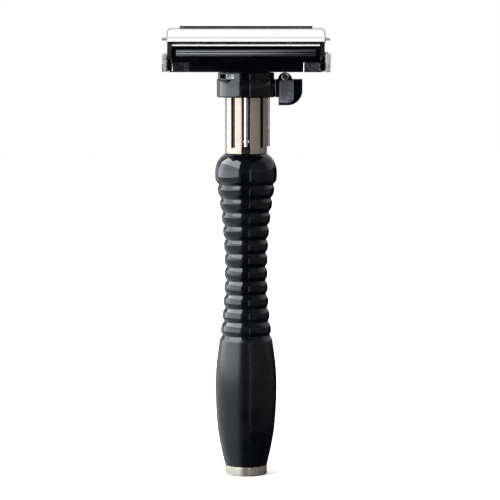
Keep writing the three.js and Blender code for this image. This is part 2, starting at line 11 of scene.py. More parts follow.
import bmesh
import bpy
import numpy as np
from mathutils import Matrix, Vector


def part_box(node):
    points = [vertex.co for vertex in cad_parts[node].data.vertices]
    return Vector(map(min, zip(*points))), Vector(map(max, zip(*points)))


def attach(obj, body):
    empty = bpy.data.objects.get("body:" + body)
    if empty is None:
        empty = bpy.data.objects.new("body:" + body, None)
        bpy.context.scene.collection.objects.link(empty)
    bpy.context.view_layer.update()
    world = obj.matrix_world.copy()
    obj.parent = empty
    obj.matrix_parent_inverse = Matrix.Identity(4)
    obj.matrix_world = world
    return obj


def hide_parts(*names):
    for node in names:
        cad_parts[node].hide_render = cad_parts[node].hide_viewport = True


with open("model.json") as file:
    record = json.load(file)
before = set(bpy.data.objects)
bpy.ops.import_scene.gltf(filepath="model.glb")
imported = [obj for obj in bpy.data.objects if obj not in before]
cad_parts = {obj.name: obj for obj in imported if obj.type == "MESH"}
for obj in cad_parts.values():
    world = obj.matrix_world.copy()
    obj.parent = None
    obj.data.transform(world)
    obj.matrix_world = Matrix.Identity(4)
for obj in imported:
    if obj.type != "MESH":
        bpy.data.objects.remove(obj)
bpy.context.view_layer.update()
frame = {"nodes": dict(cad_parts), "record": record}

# ---- sizes shared by the pieces, in millimetres ----

MM = 0.001
WELD = 1e-6
HAIR = 0.02
CIRCLE_STEPS = 144
SMALL_CIRCLE_STEPS = 48
EASE_ANGLE = 38
EASE_SEGMENTS = 3
FLAT_ANGLE = 1

LOWER_SWELL = [[5.5, 2.45], [6.65, 7.6], [7.5, 13.2], [7.96, 22], [7.72, 28.4], [6.86, 35.2]]
SWELL_STEPS = 24
SWELL_SHOULDER = 0.3
RIBS = 11
RIB_START = 36.5
RIB_PITCH = 3.555
RIB_DEPTH = 0.58
RIB_FLAT = (0.29, 0.71)
RIB_SHOULDER = 1.2
RIB_ROOT = 0.25
WAIST_Z = 53.4
WAIST_RADIUS = 5.54
WAIST_CURVE = 0.0041
BALL_CENTRE = 78.3
BALL_RADIUS = 7.98
BALL_HEIGHT = 6.5
BALL_POWER = 2.35
BALL_SHOULDER = 76.5
BALL_STEPS = 26
BALL_FOOT_ROUND = 0.6
GRIP_BORE = 3.2
GRIP_COUNTERBORE = 4.6

NECK_RADIUS = 5.42
NECK_BORE = 4.0
NECK_FLOOR = 86.2
SPIGOT_RADIUS = 4.3
SLIDER_RADIUS = 3.7
SLIDER_TOP = 100.5
LIFT_ROD_RADIUS = 1.6
SLOT_TOP = 104.4
FLARE_BOTTOM = 105.5
FLARE_RADIUS = 6.2
KEY_SLOT = 2.06
FIN_SLOT = 1.5
KEY_SEAT = 0.03
KEY_NOSE = 0.5
GROOVE_WIDTH = 1.25
GROOVE_DEPTH = 0.45
GROOVE_ANGLES = (-128, -41, 41, 128)
NOTCH_WIDTH = 2.3
FRONT = -90
REAR = 90

COLLAR_STEP = 102.75
COLLAR_RADIUS = 7.52
COLLAR_UPPER_RADIUS = 7.25
COLLAR_BORE = 6.4
COLLAR_ROUND = 0.35
WINDOW_ANGLE = -135
WINDOW_WIDTH = 5
WINDOW_FROM = 102.9
WINDOW_TO = 104.15
SLEEVE_GAP = (-100, 10)
SLEEVE_RADIUS = 6.2
SLEEVE_BORE = 5.65
PAD_CORNER = 2.85
PAD_SMALL_CORNER = 0.3
PAD_MIDDLE = (1.7, 2.4)
PAD_RIM = 0.30
PAD_RIM_SLOPE = 0.16
PAD_RIM_END = 0.95
PAD_CROWN = 0.10
PAD_CROWN_STEPS = 12
RIVET_SPREAD = 1.06
RIVET_DOME = 0.1
KNURL_WAVES = 9.5
KNURL_DEPTH = 0.16
KNURL_REACH = 0.93
KNURL_RIM_SINK = 0.3

DOOR_BEND = 17.6
DOOR_TOP = 115.85
DOOR_SEAM = 0.15
DOOR_LIP = 10.4
DOOR_INSIDE = [[0.15, 0.95], [3, 1.25], [6, 2.1], [8.5, 3.1], [10.4, 3.75]]
DOOR_END_ROUND = 1.1
DOOR_END_ROLL = 0.6
DOOR_END_SINK = 0.5
DOOR_END_THICKNESS = 0.4
DOOR_LIP_ROUND = 0.12
RIDGE_HALF = 17.05
RIDGE_WIDTH = 0.6
PLATE_INSIDE = 19.3

BLADE_CROWN = 113.3
BLADE_EDGE_HALF = 18.7
BLADE_BEND = 36.4
BLADE_HALF = 0.05
BLADE_GROUND = 9.9
BLADE_EDGE = 0.008
BLADE_HOOD = 10.35
BLADE_DROOP = 0.30
BLADE_DROOP_POWER = 1.3
BLADE_TAB_HALF = 6.4
BLADE_SLOT_HALF = 17.0
BLADE_SLOT_DEPTH = 1.0

GUARD_GROOVES = (109.15, 109.75)
GUARD_GROOVE_DEPTH = 0.2
GUARD_GROOVE_HALF = 0.16
GUARD_EASE_ANGLE = 75

record = frame["record"]
BODY_OF = {node: body for body, nodes in record["behaviour"]["bodies"].items() for node in nodes}


def reach(node):
    """A node's lowest and highest corners, in millimetres."""
    low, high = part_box(node)
    return np.array(low) / MM, np.array(high) / MM


# ---- finishes ----


class Wire:
    """A node's socket that takes part in sums. Each sum adds one Math node."""

    def __init__(self, finish, socket):
        self.finish = finish
        self.socket = socket

    def sum_of(self, operation, *values):
        return self.finish.node("ShaderNodeMath", {"operation": operation}, dict(enumerate(values)))

    def __abs__(self):
        return self.sum_of("ABSOLUTE", self)

    def __add__(self, other):
        return self.sum_of("ADD", self, other)

    def __radd__(self, other):
        return self.sum_of("ADD", other, self)

    def __sub__(self, other):
        return self.sum_of("SUBTRACT", self, other)

    def __rsub__(self, other):
        return self.sum_of("SUBTRACT", other, self)

    def __mul__(self, other):
        return self.sum_of("MULTIPLY", self, other)

    def __rmul__(self, other):
        return self.sum_of("MULTIPLY", other, self)


def larger(one, other):
    """The larger of two values at each point."""
    return one.sum_of("MAXIMUM", one, other)


class Finish:
    """A material for one of the record's slots, with its nodes made one call at a time."""

    def __init__(self, name, slot=None, tree=None):
        self.slot = slot
        if tree is None:
            self.material = bpy.data.materials.new(name)
            self.material.use_nodes = True
            tree = self.material.node_tree
        self.tree = tree
        self.tree.nodes.clear()

    def node(self, kind, settings=None, sockets=None, output=0):
        """Any node: its settings first, then each socket's value or link. Gives back one output."""
        made = self.tree.nodes.new(kind)
        for key, value in (settings or {}).items():
            setattr(made, key, value)
        for key, value in (sockets or {}).items():
            if isinstance(value, Wire):
                self.tree.links.new(value.socket, made.inputs[key])
            else:
                made.inputs[key].default_value = value
        return Wire(self, made.outputs[output]) if made.outputs else None

    def spot(self, stretch=(1, 1, 1), turn=(0, 0, 0)):
        """The place on the piece in millimetres, stretched and turned."""
        place = self.node("ShaderNodeTexCoord", output="Object")
        scale = tuple(value / MM for value in stretch)
        return self.node("ShaderNodeMapping", {}, {"Vector": place, "Rotation": turn, "Scale": scale})

    def along(self, axis, place=None):
        """How far the place lies along one axis."""
        place = self.spot() if place is None else place
        return self.node("ShaderNodeSeparateXYZ", {}, {0: place}, output=axis)

    def clouds(self, spot, scale, detail=2.0, rough=0.5):
        """Soft noise from 0 to 1."""
        sockets = {"Vector": spot, "Scale": scale, "Detail": detail, "Roughness": rough}
        return self.node("ShaderNodeTexNoise", {}, sockets)

    def between(self, value, low, high):
        """Rises smoothly from 0 at low to 1 at high."""
        sockets = {0: value, 1: low, 2: high}
        return self.node("ShaderNodeMapRange", {"interpolation_type": "SMOOTHSTEP"}, sockets)

    def tint(self, mask, plain, marked):
        """One colour where the mask is 0 and the other where it is 1."""
        plain, marked = (side if isinstance(side, Wire) else (*side, 1) for side in (plain, marked))
        return self.node("ShaderNodeMix", {"data_type": "RGBA"}, {0: mask, 6: plain, 7: marked}, output=2)

    def edges(self, low, high):
        """1 along outer edges, where hands and cloth rub and where the painted edge highlights go."""
        return self.between(self.node("ShaderNodeNewGeometry", output="Pointiness"), low, high)

    def relief(self, height, depth):
        """A bump whose full height is the given depth in millimetres."""
        return self.node("ShaderNodeBump", {}, {"Height": height, "Distance": depth * MM, "Strength": 1.0})

    def scratches(self, stretch, turn, scale, rarity):
        """Fine broken lines: the crests of a long, thin noise."""
        lines = self.clouds(self.spot(stretch, turn), scale, 3.0, 0.6)
        return self.between(lines, rarity, rarity + 0.06)

    def around(self):
        """Turning marks: the distance from the Z axis and the height as one place."""
        place = self.spot()
        flat = self.node("ShaderNodeVectorMath", {"operation": "MULTIPLY"}, {0: place, 1: (1, 1, 0)})
        radius = self.node("ShaderNodeVectorMath", {"operation": "LENGTH"}, {0: flat}, output="Value")
        return self.node("ShaderNodeCombineXYZ", {}, {"X": radius, "Y": self.along("Z", place)})

    def coat(self, **sockets):
        """The shader itself. Names have spaces for underscores."""
        named = {key.replace("_", " "): value for key, value in sockets.items()}
        shader = self.node("ShaderNodeBsdfPrincipled", {}, named)
        self.node("ShaderNodeOutputMaterial", {}, {"Surface": shader})
        return self


def polished_black(name, slot, deep, grey, roughness, peel, edge_wear_and_highlight_tone, satin=None, edge_tone_from=0.60):
    """Black moulding polished to a gloss: a faint blue-black haze, wiping marks and a tone along
    its edges, which is wear from rubbing on most parts and a painted highlight on the guard
    bars. satin gives a mask for where the mould left a fine matt grain, and the last number is
    how sharp an edge must be to take the edge tone."""
    finish = Finish(name, slot)
    haze = finish.clouds(finish.spot(), 0.16, 3.0)
    wiped = finish.scratches((0.35, 0.35, 5.0), (0.0, 0.25, 0.0), 1.1, 0.62)
    dust = finish.between(finish.clouds(finish.spot(), 9.0, 1.0), 0.72, 0.80)
    worn_and_lit_edges = finish.edges(edge_tone_from, edge_tone_from + 0.08)
    colour = finish.tint(finish.between(haze, 0.35, 0.7), deep, grey)
    colour = finish.tint(dust * 0.3, colour, (0.02, 0.021, 0.024))
    # The edge tone is wear from rubbing on most parts and a painted highlight on the guard bars.
    colour = finish.tint(worn_and_lit_edges * 0.6, colour, edge_wear_and_highlight_tone)
    gloss = roughness + haze * 0.04 + wiped * 0.06 + dust * 0.08 + worn_and_lit_edges * 0.05
    height = finish.clouds(finish.spot(), 0.7, 1.0) * peel
    if satin is not None:
        matt = satin(finish)
        grain = finish.clouds(finish.spot(), 5.0, 2.0, 0.6)
        gloss = gloss + matt * (0.14 + grain * 0.12)
        height = height + matt * grain * 0.6
    return finish.coat(Base_Color=colour, Roughness=gloss, Normal=finish.relief(height, 0.01), IOR=1.36)


def below_ball(finish):
    """0 on the ball, a little on the ribs, and 1 on the smooth lower swell."""
    height = finish.along("Z")
    swell = 1 - finish.between(height, RIB_START - 1.0, RIB_START - 0.5)
    ribs = 1 - finish.between(height, BALL_SHOULDER - 1.0, BALL_SHOULDER)
    return ribs * 0.3 + swell * 0.7


def door_dark_reflection_lines(finish):
    """1 on the crest of the ridge and along the rolled rim of each rounded end corner, where the
    chrome is painted near black: a painted dark reflection."""
    height = finish.along("Z")
    crest = finish.between(height, DOOR_TOP + 0.12, DOOR_TOP + 0.2)
    corner = reach("front_door")[1][0] - DOOR_END_ROUND
    across = abs(finish.along("X"))
    outward = larger(across - corner, 0.0)
    upward = larger(height - (DOOR_TOP - DOOR_END_ROUND), 0.0)
    distance = outward.sum_of("SQRT", outward * outward + upward * upward)
    rim = finish.between(distance, DOOR_END_ROUND - 0.34, DOOR_END_ROUND - 0.22)
    rim = rim * finish.between(across, corner - 0.05, corner + 0.15)
    return larger(rim * 0.85, crest)


def bracket_plate_highlight(finish):
    """1 on the upright side plates, which are painted pale: a painted highlight."""
    return finish.between(abs(finish.along("X")), PLATE_INSIDE - 0.1, PLATE_INSIDE + 0.1)


def neck_painted_shade(finish):
    """1 on the floors of the neck's grooves and notches, and above the collar: painted shade where
    these lie in shadow.
    """
    rings = finish.around()
    radius, height = finish.along("X", rings), finish.along("Y", rings)
    # Painted shade in the grooves and notches and above the collar.
    sunk = 1 - finish.between(radius, NECK_RADIUS - GROOVE_DEPTH * 0.6, NECK_RADIUS - GROOVE_DEPTH * 0.08)
    return larger(sunk, finish.between(height, SLOT_TOP - 0.3, SLOT_TOP))


def bright_metal(name, slot, clean, dulled, roughness, grain, edge_tone, painted_dark=None, metallic=1.0):
    """Plated metal: polishing lines along one direction, finger haze and thinner plating on edges.
    Its mask argument gives where the colour is painted near black: painted shade in the neck's
    hollows and painted dark reflections along the doors' rims."""
    finish = Finish(name, slot)
    haze = finish.between(finish.clouds(finish.spot(), 0.22, 3.0), 0.4, 0.72)
    lines = finish.clouds(finish.spot(grain), 1.0, 3.0, 0.65)
    nicks = finish.scratches(tuple(value * 1.7 for value in grain), (0.2, 0.1, 0.3), 0.8, 0.64)
    worn = finish.edges(0.57, 0.66)
    colour = finish.tint(haze * 0.6, clean, dulled)
    colour = finish.tint(worn * 0.5, colour, edge_tone)
    gloss = roughness + haze * 0.05 + nicks * 0.10 + worn * 0.08 + lines * 0.03
    if painted_dark is not None:
        # Painted near black: painted shade in hollows and painted dark reflections along rims.
        dark = painted_dark(finish)
        colour = finish.tint(dark, colour, (0.008, 0.005, 0.004))
        gloss = gloss + dark * 0.35
    skin = finish.relief(lines + nicks * 0.6, 0.0012)
    return finish.coat(Base_Color=colour, Roughness=gloss, Metallic=metallic, Normal=skin)


def turned_metal(name, slot, clean, dulled, roughness, depth, metallic=1.0):
    """Metal left from the lathe: fine rings round the axis under a soft haze."""
    finish = Finish(name, slot)
    rings = finish.clouds(finish.around(), 6.0, 3.0, 0.7)
    haze = finish.between(finish.clouds(finish.spot(), 0.35, 3.0), 0.35, 0.7)
    worn = finish.edges(0.53, 0.62)
    colour = finish.tint(haze, clean, dulled)
    colour = finish.tint(worn * 0.6, colour, tuple(min(1.0, value * 1.15) for value in clean))
    gloss = roughness + rings * 0.12 + haze * 0.06 - worn * 0.08
    skin = finish.relief(rings, depth)
    return finish.coat(Base_Color=colour, Roughness=gloss, Metallic=metallic, Normal=skin)


def pressed_steel(name, slot, clean, stained, roughness, worn_tone, bright=None):
    """Sheet pressed in a tool: rolling lines, mottled oxide and bright worn edges.
    bright gives a mask for where the colour is painted pale and half as metallic: a painted
    highlight."""
    finish = Finish(name, slot)
    mottle = finish.between(finish.clouds(finish.spot(), 1.3, 4.0, 0.6), 0.38, 0.66)
    rolled = finish.clouds(finish.spot((0.5, 7.0, 7.0)), 1.0, 2.0)
    marks = finish.scratches((4.0, 0.5, 3.0), (0.4, 0.0, 0.7), 1.2, 0.60)
    worn = finish.edges(0.57, 0.68)
    colour = finish.tint(mottle, clean, stained)
    metallic = 1.0
    # Painted highlight: a pale, less metallic tone on the masked faces.
    if bright is not None:
        pale = bright(finish) * (1 - mottle * 0.35)
        colour = finish.tint(pale, colour, (0.36, 0.355, 0.335))
        metallic = 1 - pale * 0.5
    colour = finish.tint(worn * 0.8, colour, worn_tone)
    gloss = roughness + mottle * 0.12 + marks * 0.1 - worn * 0.1 + rolled * 0.04
    skin = finish.relief(rolled * 0.5 + mottle * 0.5 + marks * 0.4, 0.004)
    return finish.coat(Base_Color=colour, Roughness=gloss, Metallic=metallic, Normal=skin)


def honed_blade(name, slot):
    """Thin blade steel: a plain rolled middle, a ground bevel with cross lines by each edge, whose
    near-white tint is a painted highlight, and dark end tabs."""
    finish = Finish(name, slot)
    place = finish.spot()
    ground = finish.between(abs(finish.along("Y")), BLADE_GROUND - 0.05, BLADE_GROUND + 0.05)
    rolled = finish.clouds(finish.spot((0.3, 8.0, 1.0)), 1.0, 3.0)
    honed = finish.clouds(finish.spot((14.0, 0.6, 1.0)), 1.0, 2.0)
    blued = finish.between(finish.clouds(place, 0.25, 2.0), 0.4, 0.7)
    colour = finish.tint(blued * 0.5, (0.62, 0.63, 0.65), (0.50, 0.53, 0.58))
    # The near-white tint on the ground bevel is a painted highlight along the edge.
    colour = finish.tint(ground, colour, (0.98, 0.97, 0.96))
    tabs = finish.between(abs(finish.along("X")), BLADE_EDGE_HALF - 0.1, BLADE_EDGE_HALF + 0.1)
    colour = finish.tint(tabs, colour, (0.10, 0.10, 0.105))
    gloss = 0.14 + rolled * 0.08 + ground * 0.06 + blued * 0.04
    height = rolled * (1 - ground) + honed * ground
    return finish.coat(Base_Color=colour, Roughness=gloss, Metallic=1.0, Normal=finish.relief(height, 0.0003))


def satin_pad(name, slot):
    """A satin thumb pad: soft sheen, fine moulded arcs, a grey tone that is a painted highlight
    standing for a softbox reflection on the black tab, and a lighter rim that is partly wear from
    rubbing and partly painted highlight.
    """
    finish = Finish(name, slot)
    place = finish.spot()
    grain = finish.clouds(place, 7.0, 2.0)
    haze = finish.between(finish.clouds(place, 0.4, 3.0), 0.35, 0.7)
    from_boss = finish.node(
        "ShaderNodeVectorMath", {"operation": "DISTANCE"}, {0: place, 1: tuple(BOSS_POINT)}, output="Value"
    )
    arcs = finish.node("ShaderNodeMath", {"operation": "SINE"}, {0: from_boss * 9.0})
    worn_and_lit_edges = finish.edges(0.52, 0.60)
    # Grey face and lighter rim: painted highlight, the rim partly wear from rubbing.
    colour = finish.tint(haze * 0.6, (0.050, 0.052, 0.057), (0.085, 0.087, 0.092))
    colour = finish.tint(worn_and_lit_edges * 0.6, colour, (0.20, 0.20, 0.21))
    gloss = 0.17 + grain * 0.10 + haze * 0.06
    skin = finish.relief(arcs * 0.5 + grain * 0.4, 0.012)
    return finish.coat(Base_Color=colour, Roughness=gloss, Metallic=0.15, Normal=skin)


boss_low, boss_high = reach("tab_rivet")
BOSS_POINT = (boss_low + boss_high) / 2

RUBBED_BLACK = (0.014, 0.0145, 0.017)
# A pale tone for the guard bars' edges: a painted highlight along their crests and grooves.
GUARD_EDGE_HIGHLIGHT = (0.27, 0.27, 0.28)

grip_black = polished_black(
    "grip_gloss_black",
    "black_gloss",
    (0.0006, 0.0008, 0.0015),
    (0.0016, 0.0020, 0.0030),
    0.045,
    0.25,
    RUBBED_BLACK,
    below_ball,
)
collar_black = polished_black(
    "collar_gloss_black",
    "black_gloss",
    (0.0008, 0.0009, 0.0015),
    (0.0020, 0.0022, 0.0030),
    0.045,
    0.15,
    RUBBED_BLACK,
)
base_black = polished_black(
    "head_base_black",
    "black_plastic",
    (0.0006, 0.0006, 0.0010),
    (0.0014, 0.0015, 0.0020),
    0.09,
    0.4,
    RUBBED_BLACK,
)
guard_black = polished_black(
    "guard_bar_black",
    "black_plastic",
    (0.0008, 0.0008, 0.0012),
    (0.0016, 0.0017, 0.0022),
    0.10,
    0.3,
    GUARD_EDGE_HIGHLIGHT,
    edge_tone_from=0.53,
)
door_chrome = bright_metal(
    "door_chrome",
    "chrome",
    (0.965, 0.97, 0.975),
    (0.91, 0.92, 0.935),
    0.030,
    (0.12, 6.0, 6.0),
    (0.80, 0.80, 0.81),
    door_dark_reflection_lines,
)
neck_nickel = bright_metal(
    "neck_warm_nickel",
    "nickel",
    (0.188, 0.160, 0.130),
    (0.163, 0.137, 0.110),
    0.09,
    (5.0, 5.0, 0.15),
    (0.26, 0.23, 0.20),
    neck_painted_shade,
    0.5,
)
key_nickel = bright_metal(
    "key_warm_nickel",
    "nickel",
    (0.80, 0.76, 0.70),
    (0.70, 0.66, 0.60),
    0.20,
    (5.0, 5.0, 0.2),
    (0.88, 0.85, 0.79),
)
foot_nickel = turned_metal(
    "foot_turned_nickel", "satin_nickel", (0.41, 0.378, 0.315), (0.33, 0.302, 0.250), 0.17, 0.003, 0.82
)
rod_steel = turned_metal("rod_turned_steel", "steel", (0.56, 0.57, 0.59), (0.42, 0.43, 0.45), 0.26, 0.005)
bracket_steel = pressed_steel(
    "bracket_pressed_steel",
    "steel",
    (0.50, 0.505, 0.52),
    (0.18, 0.185, 0.195),
    0.14,
    (0.85, 0.85, 0.85),
    bracket_plate_highlight,
)
sleeve_steel = pressed_steel(
    "sleeve_oiled_steel", "steel", (0.16, 0.16, 0.165), (0.045, 0.045, 0.05), 0.28, (0.60, 0.60, 0.60)
)
rail_steel = pressed_steel(
    "rail_milled_steel", "steel", (0.60, 0.61, 0.63), (0.44, 0.45, 0.47), 0.26, (0.82, 0.82, 0.82)
)
arm_steel = pressed_steel(
    "door_arm_blackened_steel",
    "dark_steel",
    (0.06, 0.06, 0.065),
    (0.012, 0.012, 0.014),
    0.26,
    (0.42, 0.42, 0.43),
)
blade_steel = honed_blade("honed_blade_steel", "blade_steel")
pad_grey_highlight = satin_pad("pad_grey_painted_highlight", "grey_satin")

# ---- shapes ----


def stations(breaks, step):
    """Places along a line: every break, and even steps of at most the given length in between."""
    runs = [
        np.linspace(start, end, math.ceil((end - start) / step) + 1)[:-1]
        for start, end in zip(breaks[:-1], breaks[1:])
    ]
    return np.concatenate([*runs, breaks[-1:]])


def flowing(points, steps):
    """A smooth curve through points: between two of them runs a cubic whose slope at each point is
    half the way from the point before it to the point after it."""
    points = np.asarray(points, float)
    last = len(points) - 1
    along = np.linspace(0, last, steps)
    index = np.minimum(along.astype(int), last - 1)
    share = (along - index)[:, None]
    before, here = points[np.maximum(index - 1, 0)], points[index]
    after, beyond = points[index + 1], points[np.minimum(index + 2, last)]
    leaving, arriving = (after - before) / 2, (beyond - here) / 2
    cubic = (2 * here - 2 * after + leaving + arriving) * share**3
    square = (3 * after - 3 * here - 2 * leaving - arriving) * share**2
    return cubic + square + leaving * share + here


def rounded(corners, steps=6):
    """A closed outline whose corners are [a, b, radius] rows. Round each corner runs a parabola
    from the tangent point before it to the tangent point after it."""
    corners = np.asarray(corners, float)
    point, radius = corners[:, :2], corners[:, 2:]
    back, ahead = np.roll(point, 1, 0) - point, np.roll(point, -1, 0) - point
    back_length = np.linalg.norm(back, axis=1, keepdims=True)
    ahead_length = np.linalg.norm(ahead, axis=1, keepdims=True)
    back, ahead = back / back_length, ahead / ahead_length
    half = np.arccos(np.clip((back * ahead).sum(1, keepdims=True), -1, 1)) / 2
    cut = np.minimum(radius / np.tan(half), 0.45 * np.minimum(back_length, ahead_length))
    start, end = point + back * cut, point + ahead * cut
    share = np.linspace(0, 1, steps + 1)[None, :, None]
    curve = (1 - share) ** 2 * start[:, None] + share**2 * end[:, None]
    curve = (curve + 2 * share * (1 - share) * point[:, None]).reshape(-1, 2)
    apart = np.linalg.norm(curve - np.roll(curve, 1, 0), axis=1) > WELD
    return curve[apart]


def net(rows, columns, rows_closed, columns_closed):
    """Four-sided faces between the neighbours of a grid, closed on itself where asked."""
    index = np.arange(rows * columns).reshape(rows, columns)
    if rows_closed:
        index = np.vstack([index, index[:1]])
    if columns_closed:
        index = np.hstack([index, index[:, :1]])
    return np.stack([index[:-1, :-1], index[:-1, 1:], index[1:, 1:], index[1:, :-1]], -1).reshape(-1, 4)


def turned(outline, steps=CIRCLE_STEPS):
    """A shape from the lathe: every [radius, height] point of the outline goes round Z in a circle.
    An outline that starts and ends on the axis is left open there."""
    outline = np.asarray(outline, float)
    angle = np.arange(steps) * (2 * np.pi / steps)
    radius, height = outline[:, :1], outline[:, 1:]
    points = np.stack([radius * np.cos(angle), radius * np.sin(angle), height + 0 * angle], -1)
    on_axis = outline[0, 0] < WELD and outline[-1, 0] < WELD
    return points.reshape(-1, 3), [net(len(outline), steps, not on_axis, True)]


def drawn(section, along):
    """A closed [y, z] section carried along X, with its two ends filled. The section may be the
    same all the way, or one for each place along X."""
    section = np.asarray(section, float)
    sections = np.broadcast_to(section, (len(along), *section.shape[-2:]))
    count = sections.shape[1]
    x = np.repeat(along[:, None, None], count, 1)
    ends = np.arange(count)[None]
    last = ends + (len(along) - 1) * count
    points = np.concatenate([x, sections], -1).reshape(-1, 3)
    return points, [net(len(along), count, False, True), ends, last]


def wall(outer, inner, kept, around=False):
    """A wall between two grids of points. Each kept cell has an outer and an inner face, and a rim
    joins the two grids wherever a kept cell meets an open one."""
    rows, columns = outer.shape[:2]
    count = rows * columns
    index = np.arange(count).reshape(rows, columns)
    if around:
        index = np.hstack([index, index[:, :1]])
        beside = np.hstack([kept[:, -1:], kept])
    else:
        beside = np.pad(kept, ((0, 0), (1, 1)))
    crossing = beside[:, 1:] != beside[:, :-1]
    a, b, c, d = index[:-1, :-1], index[:-1, 1:], index[1:, 1:], index[1:, :-1]
    skin = np.stack([a, b, c, d], -1)[kept]
    stacked = np.pad(kept, ((1, 1), (0, 0)))
    level = stacked[1:] != stacked[:-1]
    start, end = index[:, :-1][level], index[:, 1:][level]
    lines = index[:, : crossing.shape[1]]
    foot, head = lines[:-1][crossing], lines[1:][crossing]
    rims = [
        np.stack([start, end, end + count, start + count], -1),
        np.stack([foot, head, head + count, foot + count], -1),
    ]
    points = np.concatenate([outer.reshape(-1, 3), inner.reshape(-1, 3)])
    return points, [skin, skin + count, *rims]


def round_wall(angles, levels, dip, kept):
    """A wall round the Z axis. Each level is [height, outer radius, inner radius], and the outer
    face sinks by dip, which has a value for every level and angle."""
    levels = np.asarray(levels, float)
    turn = np.radians(angles)
    ring = np.stack([np.cos(turn), np.sin(turn), 0 * turn], -1)[None]
    rise = levels[:, :1, None] * np.array([0, 0, 1.0])
    outer = ring * (levels[:, 1:2] - dip)[..., None] + rise
    inner = ring * levels[:, 2:, None] + rise
    return wall(outer, inner, kept, around=True)


def laid(shape, axis, centre):
    """A turned shape laid down from Z onto another axis and moved to its centre."""
    points, faces = shape
    order = {"x": [2, 0, 1], "y": [0, 2, 1]}[axis]
    return points[:, order] + np.asarray(centre, float), faces


def piece(name, shapes, finish, nodes, ease=None, crease=None):
    """One finished piece from one or more closed shapes. ease rounds its sharp edges over by that
    many millimetres, and crease keeps edges past that angle crisp."""
    starts = np.cumsum([0] + [len(points) for points, _ in shapes])
    points = np.concatenate([points for points, _ in shapes]) * MM
    faces = [
        face
        for (_, groups), start in zip(shapes, starts)
        for group in groups
        for face in (group + start).tolist()
    ]
    mesh = bpy.data.meshes.new(name)
    mesh.from_pydata(points, [], faces)
    return finished(name, mesh, finish, nodes, ease, crease)


def eased(node, finish, ease, crease=None):
    """A node's own shape, with its doubles merged, its flats joined up and its edges eased."""
    mesh = frame["nodes"][node].data.copy()
    mesh.materials.clear()
    if "custom_normal" in mesh.attributes:
        mesh.attributes.remove(mesh.attributes["custom_normal"])
    return finished(node + "_eased", mesh, finish, [node], ease, crease, flats=True)


def finished(name, mesh, finish, nodes, ease, crease, flats=False):
    """Closes the mesh, gives it its finish and hangs it on the body of the nodes that it replaces."""
    shell = bmesh.new()
    shell.from_mesh(mesh)
    bmesh.ops.remove_doubles(shell, verts=shell.verts, dist=WELD)
    bmesh.ops.dissolve_degenerate(shell, dist=WELD, edges=shell.edges)
    if flats:
        flat = math.radians(FLAT_ANGLE)
        bmesh.ops.dissolve_limit(shell, angle_limit=flat, verts=shell.verts, edges=shell.edges)
    bmesh.ops.recalc_face_normals(shell, faces=shell.faces)
    shell.to_mesh(mesh)
    shell.free()
    mesh.shade_smooth()
    if crease is not None:
        mesh.set_sharp_from_angle(angle=math.radians(crease))
    mesh.materials.append(finish.material)
    made = bpy.data.objects.new(name, mesh)
    bpy.context.scene.collection.objects.link(made)
    if ease is not None:
        bevel = made.modifiers.new("eased_edges", "BEVEL")
        bevel.width = ease * MM
        bevel.segments = EASE_SEGMENTS
        bevel.limit_method = "ANGLE"
        bevel.angle_limit = math.radians(EASE_ANGLE)
        bevel.harden_normals = True
    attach(made, BODY_OF[nodes[0]])
    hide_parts(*nodes)
    return made


# ---- handle ----


def waist_radius(z):
    """The ribs' outer line: a parabola that is narrowest at the waist."""
    return WAIST_RADIUS + WAIST_CURVE * (z - WAIST_Z) ** 2


def make_grip():
    """The outline runs up a smooth swell, over ribs with flat crests, and round a ball that is a
    superellipse, then back down the bore."""
    low, high = reach("handle_grip")
    swell = flowing(LOWER_SWELL, SWELL_STEPS)
    swell_round = np.where(np.arange(len(swell)) == len(swell) - 1, SWELL_SHOULDER, 0.0)
    roots = RIB_START + RIB_PITCH * np.arange(RIBS + 1)
    starts, ends = (roots[:-1] + share * RIB_PITCH for share in RIB_FLAT)
    root_rows = np.stack([waist_radius(roots) - RIB_DEPTH, roots, 0 * roots + RIB_ROOT], -1)
    start_rows = np.stack([waist_radius(starts), starts, 0 * starts + RIB_SHOULDER], -1)
    end_rows = np.stack([waist_radius(ends), ends, 0 * ends + RIB_SHOULDER], -1)
    ribs = np.stack([root_rows[:-1], start_rows, end_rows], 1).reshape(-1, 3)
    ribs = np.concatenate([ribs, root_rows[-1:]])
    climb = np.sin(np.linspace(0, np.pi / 2, BALL_STEPS))
    ball_z = BALL_SHOULDER + (high[2] - BALL_SHOULDER) * climb
    share = np.abs(ball_z - BALL_CENTRE) / BALL_HEIGHT
    ball_r = BALL_RADIUS * (1 - share**BALL_POWER) ** (1 / BALL_POWER)
    ball_round = np.where(np.arange(BALL_STEPS) == 0, BALL_FOOT_ROUND, 0.0)
    outline = np.concatenate(
        [
            np.column_stack([swell, swell_round]),
            ribs,
            np.column_stack([ball_r, ball_z, ball_round]),
            [[GRIP_COUNTERBORE, high[2], 0.0]],
            [[GRIP_COUNTERBORE, BALL_CENTRE, 0.0]],
            [[GRIP_BORE, BALL_CENTRE, 0.0]],
            [[GRIP_BORE, low[2], 0.0]],
        ]
    )
    piece("ribbed_grip", [turned(rounded(outline))], grip_black, ["handle_grip"], crease=50)


def make_foot():
    """A thick disc with a rounded lower rim and a broken upper edge."""
    low, high = reach("foot_cap")
    outline = rounded(
        [
            [0, low[2], 0],
            [high[0], low[2], 0.55],
            [high[0], high[2], 0.16],
            [0, high[2], 0],
        ]
    )
    first = np.argmin(outline[:, 0] + outline[:, 1])
    piece("foot_ring", [turned(np.roll(outline, -first, 0))], foot_nickel, ["foot_cap"])


# ---- neck ----


def half_angle(width, radius):
    """Half of the angle that a cut of that width takes at a radius, in degrees."""
    return math.degrees(math.asin(width / 2 / radius))


